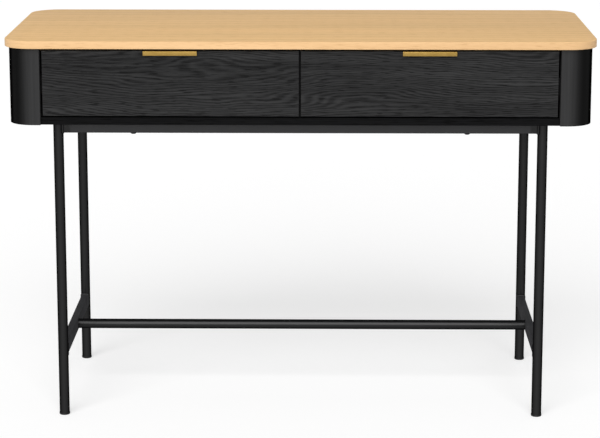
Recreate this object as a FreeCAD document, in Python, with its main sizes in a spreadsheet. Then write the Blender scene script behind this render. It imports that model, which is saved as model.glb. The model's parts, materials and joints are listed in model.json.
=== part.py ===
import FreeCAD, Part
import os
import re

import Sketcher
from FreeCAD import Placement, Rotation, Vector

# A writing desk: an oak top with rounded corners on a black case with bent ends
# and two drawers, carried by a welded frame of steel tube.
# Millimetres. The origin is on the floor under the middle of the desk, +Z is up
# and the drawers open towards -Y.

doc = FreeCAD.newDocument("writing_desk")

# ---------------------------------------------------------------- driving sizes

SIZES = {
    # whole desk
    "width": 1150,
    "depth": 500,
    "height": 760,
    # top board
    "top_board": 15,
    "top_overhang": 8,
    "top_corner": 58,
    "top_round": 1.2,
    # case
    "case_height": 150,
    "end_width": 73,
    "shell_board": 7,
    "shell_lip": 1,
    "shell_round": 0.6,
    "side_board": 15,
    "floor_board": 15,
    "divider_board": 15,
    "divider_setback": 2,
    "rail_board": 12,
    "rail_depth": 70,
    "rail_setback": 6,
    # drawer fronts
    "front_board": 16,
    "front_side_gap": 4,
    "front_middle_gap": 4,
    "front_under_gap": 3.5,
    "front_over_gap": 4,
    "front_round": 0.6,
    # drawer boxes
    "box_board": 12,
    "box_lift": 10,
    "box_over_gap": 13,
    "box_rear_space": 51,
    "tray_board": 5,
    "tray_lift": 8,
    "groove_depth": 6,
    "groove_play": 0.3,
    # ball-bearing slides
    "slide_width": 12.7,
    "slide_height": 35,
    "slide_setback": 3,
    "slide_end_space": 7,
    "slide_gauge": 1.2,
    "slide_race": 2.3,
    "slide_play": 0.6,
    "cabinet_rail_shy": 3.2,
    "drawer_rail_shy": 2,
    "middle_rail_inset": 4,
    # brass pulls
    "pull_width": 104,
    "pull_plate": 1.5,
    "pull_lip": 2,
    "pull_drop": 8.5,
    "pull_gap": 6,
    "pull_flange": 22,
    "pull_play": 0.1,
    "pull_bend": 1,
    "pull_screw_pitch": 64,
    "pull_screw_drop": 15,
    # steel frame
    "tube_radius": 10,
    "tube_wall": 1.5,
    "leg_inset_side": 102,
    "leg_inset_front": 45.5,
    "bar_width": 15,
    "bar_height": 20,
    "brace_height": 25,
    "brace_lift": 120,
    "foot_rim": 0.6,
    "foot_height": 4.5,
    "foot_round": 2,
    "foot_plug": 15,
    "plug_length": 20,
    "plug_play": 0.1,
    # fasteners
    "hole_play": 0.1,
    "cut_past": 1,
    "frame_bolt_inset": 147,
    "bolt_radius": 3,
    "bolt_head_radius": 5,
    "bolt_head": 2.5,
    "insert_wall": 1.5,
    "insert_length": 12,
    "screw_radius": 2,
    "screw_head_radius": 4,
    "screw_head": 2.2,
    "top_screw_bite": 9,
    "top_screw_spread": 140,
    "case_screw_length": 50,
    "case_screw_inset": 90,
    "back_screw_length": 36,
    "back_screw_inset": 16,
    "pull_screw_bite": 9,
    "cam_radius": 7.5,
    "cam_height": 9.5,
    "cam_setback": 24,
    "cam_inset": 25,
    "cam_bolt_bite": 11,
}

# Sizes that follow from the driving ones.
FOLLOWS = {
    "top_under": "height - top_board",
    "case_half": "width / 2 - top_overhang",
    "case_front": "depth / 2 - top_overhang",
    "case_corner": "top_corner - top_overhang",
    "case_under": "top_under - case_height",
    "opening_half": "width / 2 - end_width",
    "shell_edge": "opening_half + shell_lip",
    "inner_front": "case_front - shell_board",
    "inner_half": "case_half - shell_board",
    "inner_corner": "case_corner - shell_board",
    "floor_over": "case_under + floor_board",
    "front_back": "case_front - front_board",
    "rail_under": "top_under - rail_board",
    "bay_width": "opening_half - divider_board / 2",
    "bay_centre": "divider_board / 2 + bay_width / 2",
    "front_width": "opening_half - front_side_gap - front_middle_gap / 2",
    "front_centre": "front_middle_gap / 2 + front_width / 2",
    "front_under": "floor_over + front_under_gap",
    "front_over": "top_under - front_over_gap",
    "box_half": "bay_width / 2 - slide_width",
    "box_inner_half": "box_half - box_board",
    "box_under": "floor_over + box_lift",
    "box_height": "rail_under - box_over_gap - box_under",
    "box_rear": "inner_front - box_rear_space",
    "box_depth": "box_rear + front_back",
    "tray_under": "box_under + tray_lift",
    "slide_front": "slide_setback - front_back",
    "slide_length": "box_depth - slide_setback - slide_end_space",
    "slide_mid": "box_under + box_height / 2",
    "middle_rail_height": "slide_height - 2 * slide_gauge - 2 * slide_race",
    "cabinet_rail_reach": "slide_width - cabinet_rail_shy",
    "middle_rail_reach": "slide_width - middle_rail_inset - slide_gauge - slide_play",
    "drawer_rail_reach": "slide_width - middle_rail_inset - slide_gauge - drawer_rail_shy",
    "drawer_rail_height": "middle_rail_height - 2 * slide_gauge - 2 * slide_race",
    "pull_front": "case_front + pull_gap + pull_lip",
    "leg_x": "width / 2 - leg_inset_side",
    "leg_y": "depth / 2 - leg_inset_front",
    "bar_under": "case_under - bar_height",
    "brace_inner": "leg_x - bar_width / 2",
    "brace_outer": "leg_x + bar_width / 2",
    "brace_mid": "brace_lift + brace_height / 2",
    "tube_bore": "tube_radius - tube_wall",
}


def word_pattern(names):
    return re.compile(r"\b(" + "|".join(sorted(names, key=len, reverse=True)) + r")\b")


SIZE_WORDS = word_pattern(SIZES)
FOLLOW_WORDS = word_pattern(FOLLOWS)

sizes = doc.addObject("Spreadsheet::Sheet", "Sizes")
for row, (alias, number) in enumerate(SIZES.items(), start=1):
    sizes.set(f"A{row}", alias)
    sizes.set(f"B{row}", str(number))
    sizes.setAlias(f"B{row}", alias)

follows = doc.addObject("Spreadsheet::Sheet", "Follows")
for row, (alias, formula) in enumerate(FOLLOWS.items(), start=1):
    follows.set(f"A{row}", alias)
    follows.setAlias(f"B{row}", alias)
    follows.set(f"B{row}", "=" + SIZE_WORDS.sub(r"Sizes.\1", formula))
doc.recompute()


# ---------------------------------------------------------------- small helpers

UP = Rotation()
TO_RIGHT = Rotation(Vector(0, 1, 0), 90)
TO_LEFT = Rotation(Vector(0, 1, 0), -90)
TO_FRONT = Rotation(Vector(1, 0, 0), 90)

subparts = []


def linked(formula):
    """The formula with each size written as the sheet cell that holds it."""
    text = SIZE_WORDS.sub(r"Sizes.\1", formula)
    return FOLLOW_WORDS.sub(r"Follows.\1", text)


def bind(item, **formulas):
    for name, formula in formulas.items():
        item.setExpression(name, linked(formula))


def put(item, x="0", y="0", z="0", turn=UP):
    item.Placement = Placement(Vector(), turn)
    for axis, formula in (("x", x), ("y", y), ("z", z)):
        item.setExpression(f"Placement.Base.{axis}", linked(formula))


def keep(item, node):
    """Names a finished piece; its label is the name of its file."""
    item.Label = node
    subparts.append(item)
    return item


def box(name, x, y, z):
    """A block from three (low, size) pairs."""
    item = doc.addObject("Part::Box", name)
    bind(item, Length=x[1], Width=y[1], Height=z[1])
    put(item, x[0], y[0], z[0])
    return item


def centred(middle, size):
    """The (low, size) pair of a stretch that is centred on middle."""
    return (f"({middle}) - ({size}) / 2", size)


def between(low, high):
    return (low, f"({high}) - ({low})")


def rod(name, radius, length, x="0", y="0", z="0", turn=UP):
    item = doc.addObject("Part::Cylinder", name)
    bind(item, Radius=radius, Height=length)
    put(item, x, y, z, turn)
    return item


def joined(name, pieces):
    if len(pieces) == 1:
        return pieces[0]
    item = doc.addObject("Part::MultiFuse", name)
    item.Shapes = pieces
    return item


def cut(name, base, tools):
    item = doc.addObject("Part::Cut", name)
    item.Base = base
    item.Tool = joined(f"{name}_tools", tools)
    return item


def group(name, pieces):
    item = doc.addObject("Part::Compound", name)
    item.Links = pieces
    return item


def outline(body, name, plane, points, lift="0"):
    """A closed sketch of straight lines; each corner is held by its two distances."""
    sketch = body.newObject("Sketcher::SketchObject", name)
    role = f"{plane}_Plane"
    planes = [item for item in body.Origin.OriginFeatures if item.Role == role]
    sketch.AttachmentSupport = [(planes[0], "")]
    sketch.MapMode = "FlatFace"
    sketch.setExpression("AttachmentOffset.Base.z", linked(lift))
    count = len(points)
    ring = [Rotation(Vector(0, 0, 1), 360 * i / count).multVec(Vector(-9, -9, 0)) for i in range(count)]
    for i in range(count):
        sketch.addGeometry(Part.LineSegment(ring[i], ring[(i + 1) % count]), False)
    for i in range(count):
        sketch.addConstraint(Sketcher.Constraint("Coincident", i, 2, (i + 1) % count, 1))
    for i, (across, along) in enumerate(points):
        for kind, formula in (("DistanceX", across), ("DistanceY", along)):
            start = ring[i].x if kind == "DistanceX" else ring[i].y
            index = sketch.addConstraint(Sketcher.Constraint(kind, -1, 1, i, 1, start))
            sketch.setExpression(f"Constraints[{index}]", linked(formula))
    doc.recompute()
    return sketch


def corners(x_low, x_high, y_low, y_high):
    return [(x_low, y_low), (x_high, y_low), (x_high, y_high), (x_low, y_high)]


def pad(body, sketch, length, midplane=False):
    item = body.newObject("PartDesign::Pad", f"{sketch.Name}_pad")
    item.Profile = sketch
    item.Midplane = midplane
    item.setExpression("Length", linked(length))
    doc.recompute()
    return item


def fillet(body, chosen, radius):
    """Rounds the edges of the body's last feature that chosen(edge) picks."""
    last = body.Tip
    names = [f"Edge{i}" for i, edge in enumerate(last.Shape.Edges, start=1) if chosen(edge)]
    item = body.newObject("PartDesign::Fillet", f"{body.Name}_fillet")
    item.Base = (last, names)
    item.setExpression("Radius", linked(radius))
    doc.recompute()
    return item


def runs_along(edge, axis):
    if edge.Curve.TypeId != "Part::GeomLine":
        return False
    return abs(edge.tangentAt(edge.FirstParameter).dot(axis)) > 0.999


def upright(edge):
    return runs_along(edge, Vector(0, 0, 1))


def lies_at(edge, height):
    extent = edge.BoundBox
    return abs(extent.ZMin - height) < 1e-3 and abs(extent.ZMax - height) < 1e-3


# ---------------------------------------------------------------- fasteners

def stacked(name, stages, grow):
    """Cylinders and cones end to end along +Z: stages are (start, length, radius, end radius)."""
    pieces = []
    for number, (start, length, radius, end) in enumerate(stages):
        if radius == end:
            item = rod(f"{name}_stage{number}", f"{radius} + {grow}", length, z=start)
        else:
            item = doc.addObject("Part::Cone", f"{name}_stage{number}")
            bind(item, Radius1=f"{radius} + {grow}", Radius2=f"{end} + {grow}", Height=length)
            put(item, z=start)
        pieces.append(item)
    return joined(name, pieces)


def fasteners(name, stages, places, grow="0"):
    """One separate solid at each (x, y, z, turn)."""
    pieces = []
    for number, (x, y, z, turn) in enumerate(places):
        item = stacked(f"{name}_{number}", stages, grow)
        put(item, x, y, z, turn)
        pieces.append(item)
    return group(name, pieces)


def kept_with_holes(name, stages, places):
    """Keeps the fasteners as a piece and returns the holes that they need."""
    keep(fasteners(name, stages, places), name)
    return fasteners(f"{name}_holes", stages, places, "hole_play")


def countersunk(length):
    return [
        ("0", "screw_head", "screw_head_radius", "screw_radius"),
        ("screw_head", f"{length} - screw_head", "screw_radius", "screw_radius"),
    ]


def headed(radius, length, head_radius, head):
    """A shank that starts at z = 0, with its head below."""
    return [
        (f"-({head})", head, head_radius, head_radius),
        ("0", length, radius, radius),
    ]


SIDES = (("left", "-1"), ("right", "1"))
ENDS = (("front", "-1"), ("rear", "1"))

top_screw_holes = kept_with_holes(
    "top_screws",
    countersunk("(rail_board + top_screw_bite)"),
    [
        (f"{side} * (bay_centre + {across} * top_screw_spread)", y, "rail_under", UP)
        for side in ("-1", "1")
        for across in ("-1", "1")
        for y in (
            "rail_setback + rail_depth / 2 - front_back",
            "inner_front - rail_depth / 2",
        )
    ],
)

case_screw_holes = kept_with_holes(
    "case_screws",
    countersunk("case_screw_length"),
    [
        (x, f"{end} * (inner_front - case_screw_inset)", "case_under", UP)
        for x in ("-(opening_half + side_board / 2)", "0", "opening_half + side_board / 2")
        for end in ("-1", "1")
    ],
)

frame_bolt_places = [
    (f"{side} * (leg_x - frame_bolt_inset)", f"{end} * leg_y", "bar_under", UP)
    for side in ("-1", "1")
    for end in ("-1", "1")
]
frame_bolt_holes = kept_with_holes(
    "frame_bolts",
    headed("bolt_radius", "(bar_height + insert_length)", "bolt_head_radius", "bolt_head"),
    frame_bolt_places,
)

insert_places = [(x, y, "case_under", UP) for x, y, z, turn in frame_bolt_places]
insert_radius = "bolt_radius + insert_wall"
insert_stages = [("0", "insert_length", insert_radius, insert_radius)]
insert_blanks = fasteners("insert_blanks", insert_stages, insert_places)
insert_holes = fasteners("insert_holes", insert_stages, insert_places, "hole_play")
keep(cut("insert_nuts", insert_blanks, [frame_bolt_holes]), "insert_nuts")

stretcher_bolt_holes = kept_with_holes(
    "stretcher_bolts",
    headed("bolt_radius", "(bar_width + plug_length)", "bolt_head_radius", "bolt_head"),
    [("-brace_outer", "0", "brace_mid", TO_RIGHT), ("brace_outer", "0", "brace_mid", TO_LEFT)],
)


# ---------------------------------------------------------------- top and case

def slab(node, half_width, half_depth, thickness, under, corner):
    """A flat board with rounded corners."""
    body = doc.addObject("PartDesign::Body", f"{node}_body")
    sketch = outline(
        body,
        f"{node}_outline",
        "XY",
        corners(f"-({half_width})", half_width, f"-({half_depth})", half_depth),
    )
    pad(body, sketch, thickness)
    fillet(body, upright, corner)
    put(body, z=under)
    return body


def build_tabletop():
    body = slab("tabletop", "width / 2", "depth / 2", "top_board", "top_under", "top_corner")
    fillet(body, lambda edge: not upright(edge), "top_round")
    keep(cut("tabletop", body, [top_screw_holes]), "tabletop")


def build_case_floor():
    body = slab("case_floor", "inner_half", "inner_front", "floor_board", "case_under", "inner_corner")
    keep(cut("case_floor", body, [case_screw_holes, insert_holes]), "case_floor")


def build_case_outline():
    """The case's outer shape and the space inside its bent boards."""
    block = slab("case_block", "case_half", "case_front", "case_height", "case_under", "case_corner")
    fillet(block, lambda edge: lies_at(edge, 0), "shell_round")
    hollow = slab("case_hollow", "inner_half", "inner_front", "case_height", "case_under", "inner_corner")
    return block, hollow


def build_end_shell(side, sign, block, hollow):
    """A bent board that wraps one end of the case, from the drawer opening to the back."""
    node = f"{side}_end_shell"
    rest = box(
        f"{node}_rest",
        centred(f"{sign} * (shell_edge / 2 - case_half / 2)", "shell_edge + case_half"),
        centred("0", "depth"),
        between("case_under - cut_past", "top_under + cut_past"),
    )
    keep(cut(node, block, [hollow, rest]), node)


def build_inner_side(side, sign):
    """The upright board behind the end shell, where the drawer slide is fixed."""
    node = f"{side}_inner_side"
    board = box(
        f"{node}_board",
        centred(f"{sign} * (opening_half + side_board / 2)", "side_board"),
        centred("0", "2 * inner_front"),
        between("floor_over", "top_under"),
    )
    keep(cut(node, board, [case_screw_holes]), node)


def build_rails():
    span = centred("0", "2 * opening_half")
    height = between("rail_under", "top_under")
    front = box("front_rail_board", span, ("rail_setback - front_back", "rail_depth"), height)
    rear = box("rear_rail_board", span, ("inner_front - rail_depth", "rail_depth"), height)
    keep(cut("front_rail", front, [top_screw_holes]), "front_rail")
    keep(cut("rear_rail", rear, [top_screw_holes]), "rear_rail")
    return front, rear


def build_divider(rails):
    board = box(
        "divider_board",
        centred("0", "divider_board"),
        between("divider_setback - front_back", "inner_front"),
        between("floor_over", "top_under"),
    )
    keep(cut("centre_divider", board, [*rails, case_screw_holes]), "centre_divider")


def build_back_panel():
    panel = box(
        "back_panel",
        centred("0", "2 * shell_edge"),
        ("inner_front", "shell_board"),
        between("case_under", "top_under"),
    )
    keep(panel, "back_panel")


build_tabletop()
build_case_floor()
block, hollow = build_case_outline()
for side, sign in SIDES:
    build_end_shell(side, sign, block, hollow)
    build_inner_side(side, sign)
build_divider(build_rails())
build_back_panel()


# ---------------------------------------------------------------- steel frame

leg_envelopes = {}


def build_leg(side, sign, end, along):
    """A round tube on a plastic foot, standing under the case."""
    node = f"{end}_{side}_leg"
    place = {"x": f"{sign} * leg_x", "y": f"{along} * leg_y", "z": "foot_height"}
    length = "case_under - foot_height"
    tube = rod(f"{node}_tube", "tube_radius", length, **place)
    bore = rod(f"{node}_bore", "tube_bore", length, **place)
    keep(cut(node, tube, [bore]), node)
    leg_envelopes[end, side] = tube


def build_foot(side, sign, end, along):
    """A turned plastic glide: a rounded disc with a plug that pushes into the tube."""
    node = f"{end}_{side}_foot"
    body = doc.addObject("PartDesign::Body", node)
    disc = body.newObject("PartDesign::AdditiveCylinder", f"{node}_disc")
    disc.setExpression("Radius", linked("tube_radius + foot_rim"))
    disc.setExpression("Height", linked("foot_height"))
    doc.recompute()
    fillet(body, lambda edge: lies_at(edge, 0), "foot_round")
    plug = body.newObject("PartDesign::AdditiveCylinder", f"{node}_plug")
    plug.setExpression("Radius", linked("tube_bore - plug_play"))
    plug.setExpression("Height", linked("foot_height + foot_plug"))
    doc.recompute()
    put(body, f"{sign} * leg_x", f"{along} * leg_y")
    keep(body, node)


def box_tube(name, x, y, z, run):
    """A rectangular tube along the axis run; its walls are on the other two axes."""
    outer = box(f"{name}_outer", x, y, z)
    bore = []
    for axis, (low, size) in zip("xyz", (x, y, z)):
        if axis == run:
            bore.append((low, size))
        else:
            bore.append((f"{low} + tube_wall", f"{size} - 2 * tube_wall"))
    return outer, box(f"{name}_bore", *bore)


def build_cross_bar(end, along):
    """The top bar between the left and right legs, bolted up into the case floor."""
    node = f"{end}_top_bar"
    outer, bore = box_tube(
        node,
        centred("0", "2 * leg_x"),
        centred(f"{along} * leg_y", "bar_width"),
        ("bar_under", "bar_height"),
        "x",
    )
    legs = [leg_envelopes[end, side] for side, sign in SIDES]
    keep(cut(node, outer, [bore, *legs, frame_bolt_holes]), node)
    return outer


def build_side_bar(side, sign, cross_bars):
    """The top bar between a front and a rear leg, fitted round both cross bars."""
    node = f"{side}_top_bar"
    outer, bore = box_tube(
        node,
        centred(f"{sign} * leg_x", "bar_width"),
        centred("0", "2 * leg_y"),
        ("bar_under", "bar_height"),
        "y",
    )
    legs = [leg_envelopes[end, side] for end, along in ENDS]
    keep(cut(node, outer, [bore, *legs, *cross_bars]), node)


def build_brace(side, sign):
    """The low bar between a front and a rear leg, which carries the stretcher."""
    node = f"{side}_brace"
    outer, bore = box_tube(
        node,
        centred(f"{sign} * leg_x", "bar_width"),
        centred("0", "2 * leg_y"),
        ("brace_lift", "brace_height"),
        "y",
    )
    legs = [leg_envelopes[end, side] for end, along in ENDS]
    keep(cut(node, outer, [bore, *legs, stretcher_bolt_holes]), node)


def build_stretcher():
    """The long round tube between the braces, with a threaded plug in each end."""
    place = {"x": "-brace_inner", "z": "brace_mid", "turn": TO_RIGHT}
    tube = rod("stretcher_tube", "tube_radius", "2 * brace_inner", **place)
    bore = rod("stretcher_bore", "tube_bore", "2 * brace_inner", **place)
    keep(cut("stretcher", tube, [bore]), "stretcher")
    plugs = fasteners(
        "stretcher_plug_blanks",
        [("0", "plug_length", "tube_bore - plug_play", "tube_bore - plug_play")],
        [("-brace_inner", "0", "brace_mid", TO_RIGHT), ("brace_inner", "0", "brace_mid", TO_LEFT)],
    )
    keep(cut("stretcher_plugs", plugs, [stretcher_bolt_holes]), "stretcher_plugs")


for side, sign in SIDES:
    for end, along in ENDS:
        build_leg(side, sign, end, along)
        build_foot(side, sign, end, along)
cross_bars = [build_cross_bar(end, along) for end, along in ENDS]
for side, sign in SIDES:
    build_side_bar(side, sign, cross_bars)
    build_brace(side, sign)
build_stretcher()


# ---------------------------------------------------------------- slides

def channel(name, wall, inward, inset, reach, height):
    """A C-shaped rail along Y whose web is inset from a wall and whose flanges point away."""
    length = ("slide_front", "slide_length")
    outer = box(
        f"{name}_outer",
        centred(f"{wall} + {inward} * ({inset} + {reach} / 2)", reach),
        length,
        centred("slide_mid", height),
    )
    inner = box(
        f"{name}_inner",
        centred(f"{wall} + {inward} * ({inset} + {reach} / 2 + slide_gauge)", reach),
        length,
        centred("slide_mid", f"{height} - 2 * slide_gauge"),
    )
    return cut(name, outer, [inner])


def build_slides(side, sign):
    """Two three-part slides: cabinet rails on the case, drawer rails on the box, middle rails between."""
    cabinet = []
    middle = []
    drawer = []
    for number, inward in enumerate(("-1", "1")):
        case_wall = f"{sign} * bay_centre - {inward} * bay_width / 2"
        box_wall = f"{sign} * bay_centre - {inward} * box_half"
        outward = "1" if inward == "-1" else "-1"
        cabinet.append(channel(
            f"{side}_cabinet_rail{number}", case_wall, inward,
            "0", "cabinet_rail_reach", "slide_height",
        ))
        middle.append(channel(
            f"{side}_middle_rail{number}", case_wall, inward,
            "middle_rail_inset", "middle_rail_reach", "middle_rail_height",
        ))
        drawer.append(channel(
            f"{side}_drawer_rail{number}", box_wall, outward,
            "0", "drawer_rail_reach", "drawer_rail_height",
        ))
    keep(group(f"{side}_cabinet_rails", cabinet), f"{side}_cabinet_rails")
    keep(group(f"{side}_middle_rails", middle), f"{side}_middle_rails")
    keep(group(f"{side}_drawer_rails", drawer), f"{side}_drawer_rails")


# ---------------------------------------------------------------- drawers

def build_pull(side, sign):
    """A folded brass strip: a lip in front, a plate over the edge and a flange behind."""
    node = f"{side}_pull"
    body = doc.addObject("PartDesign::Body", f"{node}_body")
    # the sketch lies in the YZ plane, so its first coordinate is Y and its second is Z
    profile = outline(
        body,
        f"{node}_profile",
        "YZ",
        [
            ("-pull_front", "front_over"),
            ("-pull_front", "front_over - pull_drop"),
            ("pull_lip - pull_front", "front_over - pull_drop"),
            ("pull_lip - pull_front", "front_over - pull_plate"),
            ("-front_back", "front_over - pull_plate"),
            ("-front_back", "front_over - pull_flange"),
            ("pull_plate - front_back", "front_over - pull_flange"),
            ("pull_plate - front_back", "front_over"),
        ],
    )
    pad(body, profile, "pull_width", midplane=True)

    def outer_bends(edge):
        return runs_along(edge, Vector(1, 0, 0)) and lies_at(edge, follows.front_over)

    fillet(body, outer_bends, "pull_bend")
    put(body, x=f"{sign} * front_centre")
    holes = kept_with_holes(
        f"{side}_pull_screws",
        headed("screw_radius", "(pull_plate + pull_screw_bite)", "screw_head_radius", "screw_head"),
        [
            (
                f"{sign} * front_centre + {across} * pull_screw_pitch / 2",
                "pull_plate - front_back",
                "front_over - pull_screw_drop",
                TO_FRONT,
            )
            for across in ("-1", "1")
        ],
    )
    keep(cut(node, body, [holes]), node)
    return holes


def build_cams(side, sign):
    """Cam discs let into the box sides, and the bolts that they draw back from the front."""
    discs = []
    bolts = []
    disc_holes = []
    bolt_holes = []
    for number, inward in enumerate(("-1", "1")):
        inner_face = f"{sign} * bay_centre - {inward} * box_inner_half"
        turn = TO_LEFT if inward == "1" else TO_RIGHT
        middle = f"{sign} * bay_centre - {inward} * (box_half - box_board / 2)"
        for level in ("cam_inset", "box_height - cam_inset"):
            name = f"{side}_cam{len(discs)}"
            spot = {"y": "cam_setback - front_back", "z": f"box_under + {level}"}
            discs.append(rod(name, "cam_radius", "cam_height", x=inner_face, turn=turn, **spot))
            disc_holes.append(rod(
                f"{name}_hole", "cam_radius + hole_play", "cam_height",
                x=inner_face, turn=turn, **spot,
            ))
            spot["y"] = "cam_setback - cam_radius - front_back"
            spot["turn"] = TO_FRONT
            length = "cam_setback - cam_radius + cam_bolt_bite"
            bolts.append(rod(f"{name}_bolt", "bolt_radius", length, x=middle, **spot))
            bolt_holes.append(rod(f"{name}_bolt_hole", "bolt_radius + hole_play", length, x=middle, **spot))
    keep(group(f"{side}_cam_discs", discs), f"{side}_cam_discs")
    keep(group(f"{side}_cam_bolts", bolts), f"{side}_cam_bolts")
    return disc_holes, bolt_holes


def build_drawer(side, sign):
    middle = f"{sign} * bay_centre"
    tray_half = "box_inner_half + groove_depth"
    groove = box(
        f"{side}_tray_groove",
        centred(middle, f"2 * ({tray_half})"),
        between("-(front_back + groove_depth)", "box_rear - box_board + groove_depth"),
        ("tray_under", "tray_board + groove_play"),
    )
    discs, bolts = build_cams(side, sign)
    pull_screw_holes = build_pull(side, sign)

    front_body = doc.addObject("PartDesign::Body", f"{side}_drawer_front_body")
    face = outline(
        front_body,
        f"{side}_drawer_front_outline",
        "XY",
        corners("-front_width / 2", "front_width / 2", "-case_front", "-front_back"),
    )
    pad(front_body, face, "front_over - front_under")

    def face_edges(edge):
        return abs(edge.BoundBox.YMax + follows.case_front) < 1e-3

    fillet(front_body, face_edges, "front_round")
    put(front_body, x=f"{sign} * front_centre", z="front_under")
    rebate = box(
        f"{side}_pull_rebate",
        centred(f"{sign} * front_centre", "pull_width + 2 * pull_play"),
        between("-(case_front + cut_past)", "cut_past - front_back"),
        ("front_over - pull_plate", "pull_plate + cut_past"),
    )
    keep(
        cut(f"{side}_drawer_front", front_body, [groove, rebate, pull_screw_holes, *bolts]),
        f"{side}_drawer_front",
    )

    back_screw_holes = kept_with_holes(
        f"{side}_back_screws",
        countersunk("back_screw_length"),
        [
            (f"{middle} - {inward} * box_half", "box_rear - box_board / 2", f"box_under + {level}", turn)
            for inward, turn in (("1", TO_RIGHT), ("-1", TO_LEFT))
            for level in ("back_screw_inset", "box_height - back_screw_inset")
        ],
    )
    for name, inward in (("left", "1"), ("right", "-1")):
        node = f"{side}_drawer_{name}_side"
        board = box(
            f"{node}_board",
            centred(f"{middle} - {inward} * (box_half - box_board / 2)", "box_board"),
            ("-front_back", "box_depth"),
            ("box_under", "box_height"),
        )
        keep(cut(node, board, [groove, back_screw_holes, *discs, *bolts]), node)

    back = box(
        f"{side}_drawer_back_board",
        centred(middle, "2 * box_inner_half"),
        ("box_rear - box_board", "box_board"),
        ("box_under", "box_height"),
    )
    keep(cut(f"{side}_drawer_back", back, [groove, back_screw_holes]), f"{side}_drawer_back")

    tray = box(
        f"{side}_drawer_bottom",
        centred(middle, f"2 * ({tray_half} - groove_play)"),
        between(
            "groove_play - front_back - groove_depth",
            "box_rear - box_board + groove_depth - groove_play",
        ),
        ("tray_under", "tray_board"),
    )
    keep(tray, f"{side}_drawer_bottom")


for side, sign in SIDES:
    build_slides(side, sign)
    build_drawer(side, sign)


# ---------------------------------------------------------------- check and export

doc.recompute()
for item in doc.Objects:
    if "Invalid" in item.State or "Error" in item.State:
        raise RuntimeError(f"{item.Label} failed: {item.State}")
for item in subparts:
    if item.Shape.isNull() or not item.Shape.isValid() or not item.Shape.Solids:
        raise RuntimeError(f"{item.Label} has no sound solid")

os.makedirs("parts", exist_ok=True)
for item in subparts:
    item.Shape.exportStep(f"parts/{item.Label}.step")
print(f"{len(subparts)} pieces written")
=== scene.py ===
# %% [markdown]
# # A writing desk, finished
# The design model already holds every board, tube and screw at its real size.
# This notebook gives them their looks: oak veneer, black-stained oak, powder-coated
# steel and brushed brass. Where a part needs softer edges or finer detail than the
# design model has, a new piece is built on the same sizes and stands in for it.
# All lengths are in metres, +Z is up and the drawers open towards -Y.

# %% Load the design model
import json
import math

import bmesh
import bpy
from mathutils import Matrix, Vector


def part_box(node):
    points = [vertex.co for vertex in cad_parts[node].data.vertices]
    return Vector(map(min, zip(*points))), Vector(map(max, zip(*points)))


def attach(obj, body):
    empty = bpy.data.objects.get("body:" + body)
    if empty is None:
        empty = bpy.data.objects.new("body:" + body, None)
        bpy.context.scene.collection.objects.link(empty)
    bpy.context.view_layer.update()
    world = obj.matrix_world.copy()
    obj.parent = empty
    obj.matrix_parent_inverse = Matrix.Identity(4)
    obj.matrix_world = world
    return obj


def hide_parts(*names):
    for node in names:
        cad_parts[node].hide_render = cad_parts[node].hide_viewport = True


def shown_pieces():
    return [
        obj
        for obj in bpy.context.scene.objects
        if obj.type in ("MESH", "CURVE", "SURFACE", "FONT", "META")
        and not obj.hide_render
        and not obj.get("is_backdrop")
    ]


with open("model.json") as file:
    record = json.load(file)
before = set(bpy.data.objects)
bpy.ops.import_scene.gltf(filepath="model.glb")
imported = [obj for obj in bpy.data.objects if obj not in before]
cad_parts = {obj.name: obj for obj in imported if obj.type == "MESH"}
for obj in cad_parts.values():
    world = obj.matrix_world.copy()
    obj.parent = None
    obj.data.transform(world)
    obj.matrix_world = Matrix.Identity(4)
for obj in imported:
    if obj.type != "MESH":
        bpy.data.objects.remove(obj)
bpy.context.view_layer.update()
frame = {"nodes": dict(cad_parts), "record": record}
MM = 0.001
print("nodes:", len(frame["nodes"]))

# %% [markdown]
# ## Sizes
# Nothing is typed twice. Every place comes from the boxes of the design model's
# nodes, so a piece lands where its node is.

# %% Read the main sizes from the nodes
top_low, top_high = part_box("tabletop")
case_low, case_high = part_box("left_end_shell")
floor_low, floor_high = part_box("case_floor")
leg_low, leg_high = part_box("front_left_leg")
TUBE_RADIUS = (leg_high.x - leg_low.x) / 2
LEG_X = -(leg_low.x + leg_high.x) / 2
LEG_Y = -(leg_low.y + leg_high.y) / 2
SIDES = {"left": -1, "right": 1}
print(f"desk {top_high.x * 2:.3f} x {top_high.y * 2:.3f} x {top_high.z:.3f} m")


# %% [markdown]
# ## Studio
# A pale floor runs far behind the desk, so no horizon shows from the front. The light
# is one very wide soft sun from the front, a little left and above eye level. A sun
# gives the whole floor the same brightness, so the floor stays even. It stands low
# enough to light upright faces more than level ones, so the rim of the oak top comes
# out lighter than its face. The floor has a glow of its own, which keeps the shadows on
# it faint. The sky is white near the horizon and dim overhead, which keeps the black
# parts black.

# %% Floor, light and sky
def add_object(name, data):
    item = bpy.data.objects.new(name, data)
    bpy.context.scene.collection.objects.link(item)
    return item


FLOOR_HALF = 16.0
FLOOR_GREY = 0.50
FLOOR_GLOW = 0.54
floor_corners = [(x * FLOOR_HALF, y * FLOOR_HALF, 0) for x, y in ((-1, -1), (1, -1), (1, 1), (-1, 1))]
floor_mesh = bpy.data.meshes.new("studio_floor")
floor_mesh.from_pydata(floor_corners, [], [(0, 1, 2, 3)])
add_object("studio_floor", floor_mesh)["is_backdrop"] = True
paper = bpy.data.materials.new("studio_paper")
paper.use_nodes = True
paper_shader = paper.node_tree.nodes["Principled BSDF"]
paper_shader.inputs["Base Color"].default_value = (FLOOR_GREY, FLOOR_GREY, FLOOR_GREY, 1)
paper_shader.inputs["Emission Color"].default_value = (1, 1, 1, 1)
paper_shader.inputs["Emission Strength"].default_value = FLOOR_GLOW
paper_shader.inputs["Roughness"].default_value = 0.9
paper_shader.inputs["Specular IOR Level"].default_value = 0.05
floor_mesh.materials.append(paper)

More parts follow.
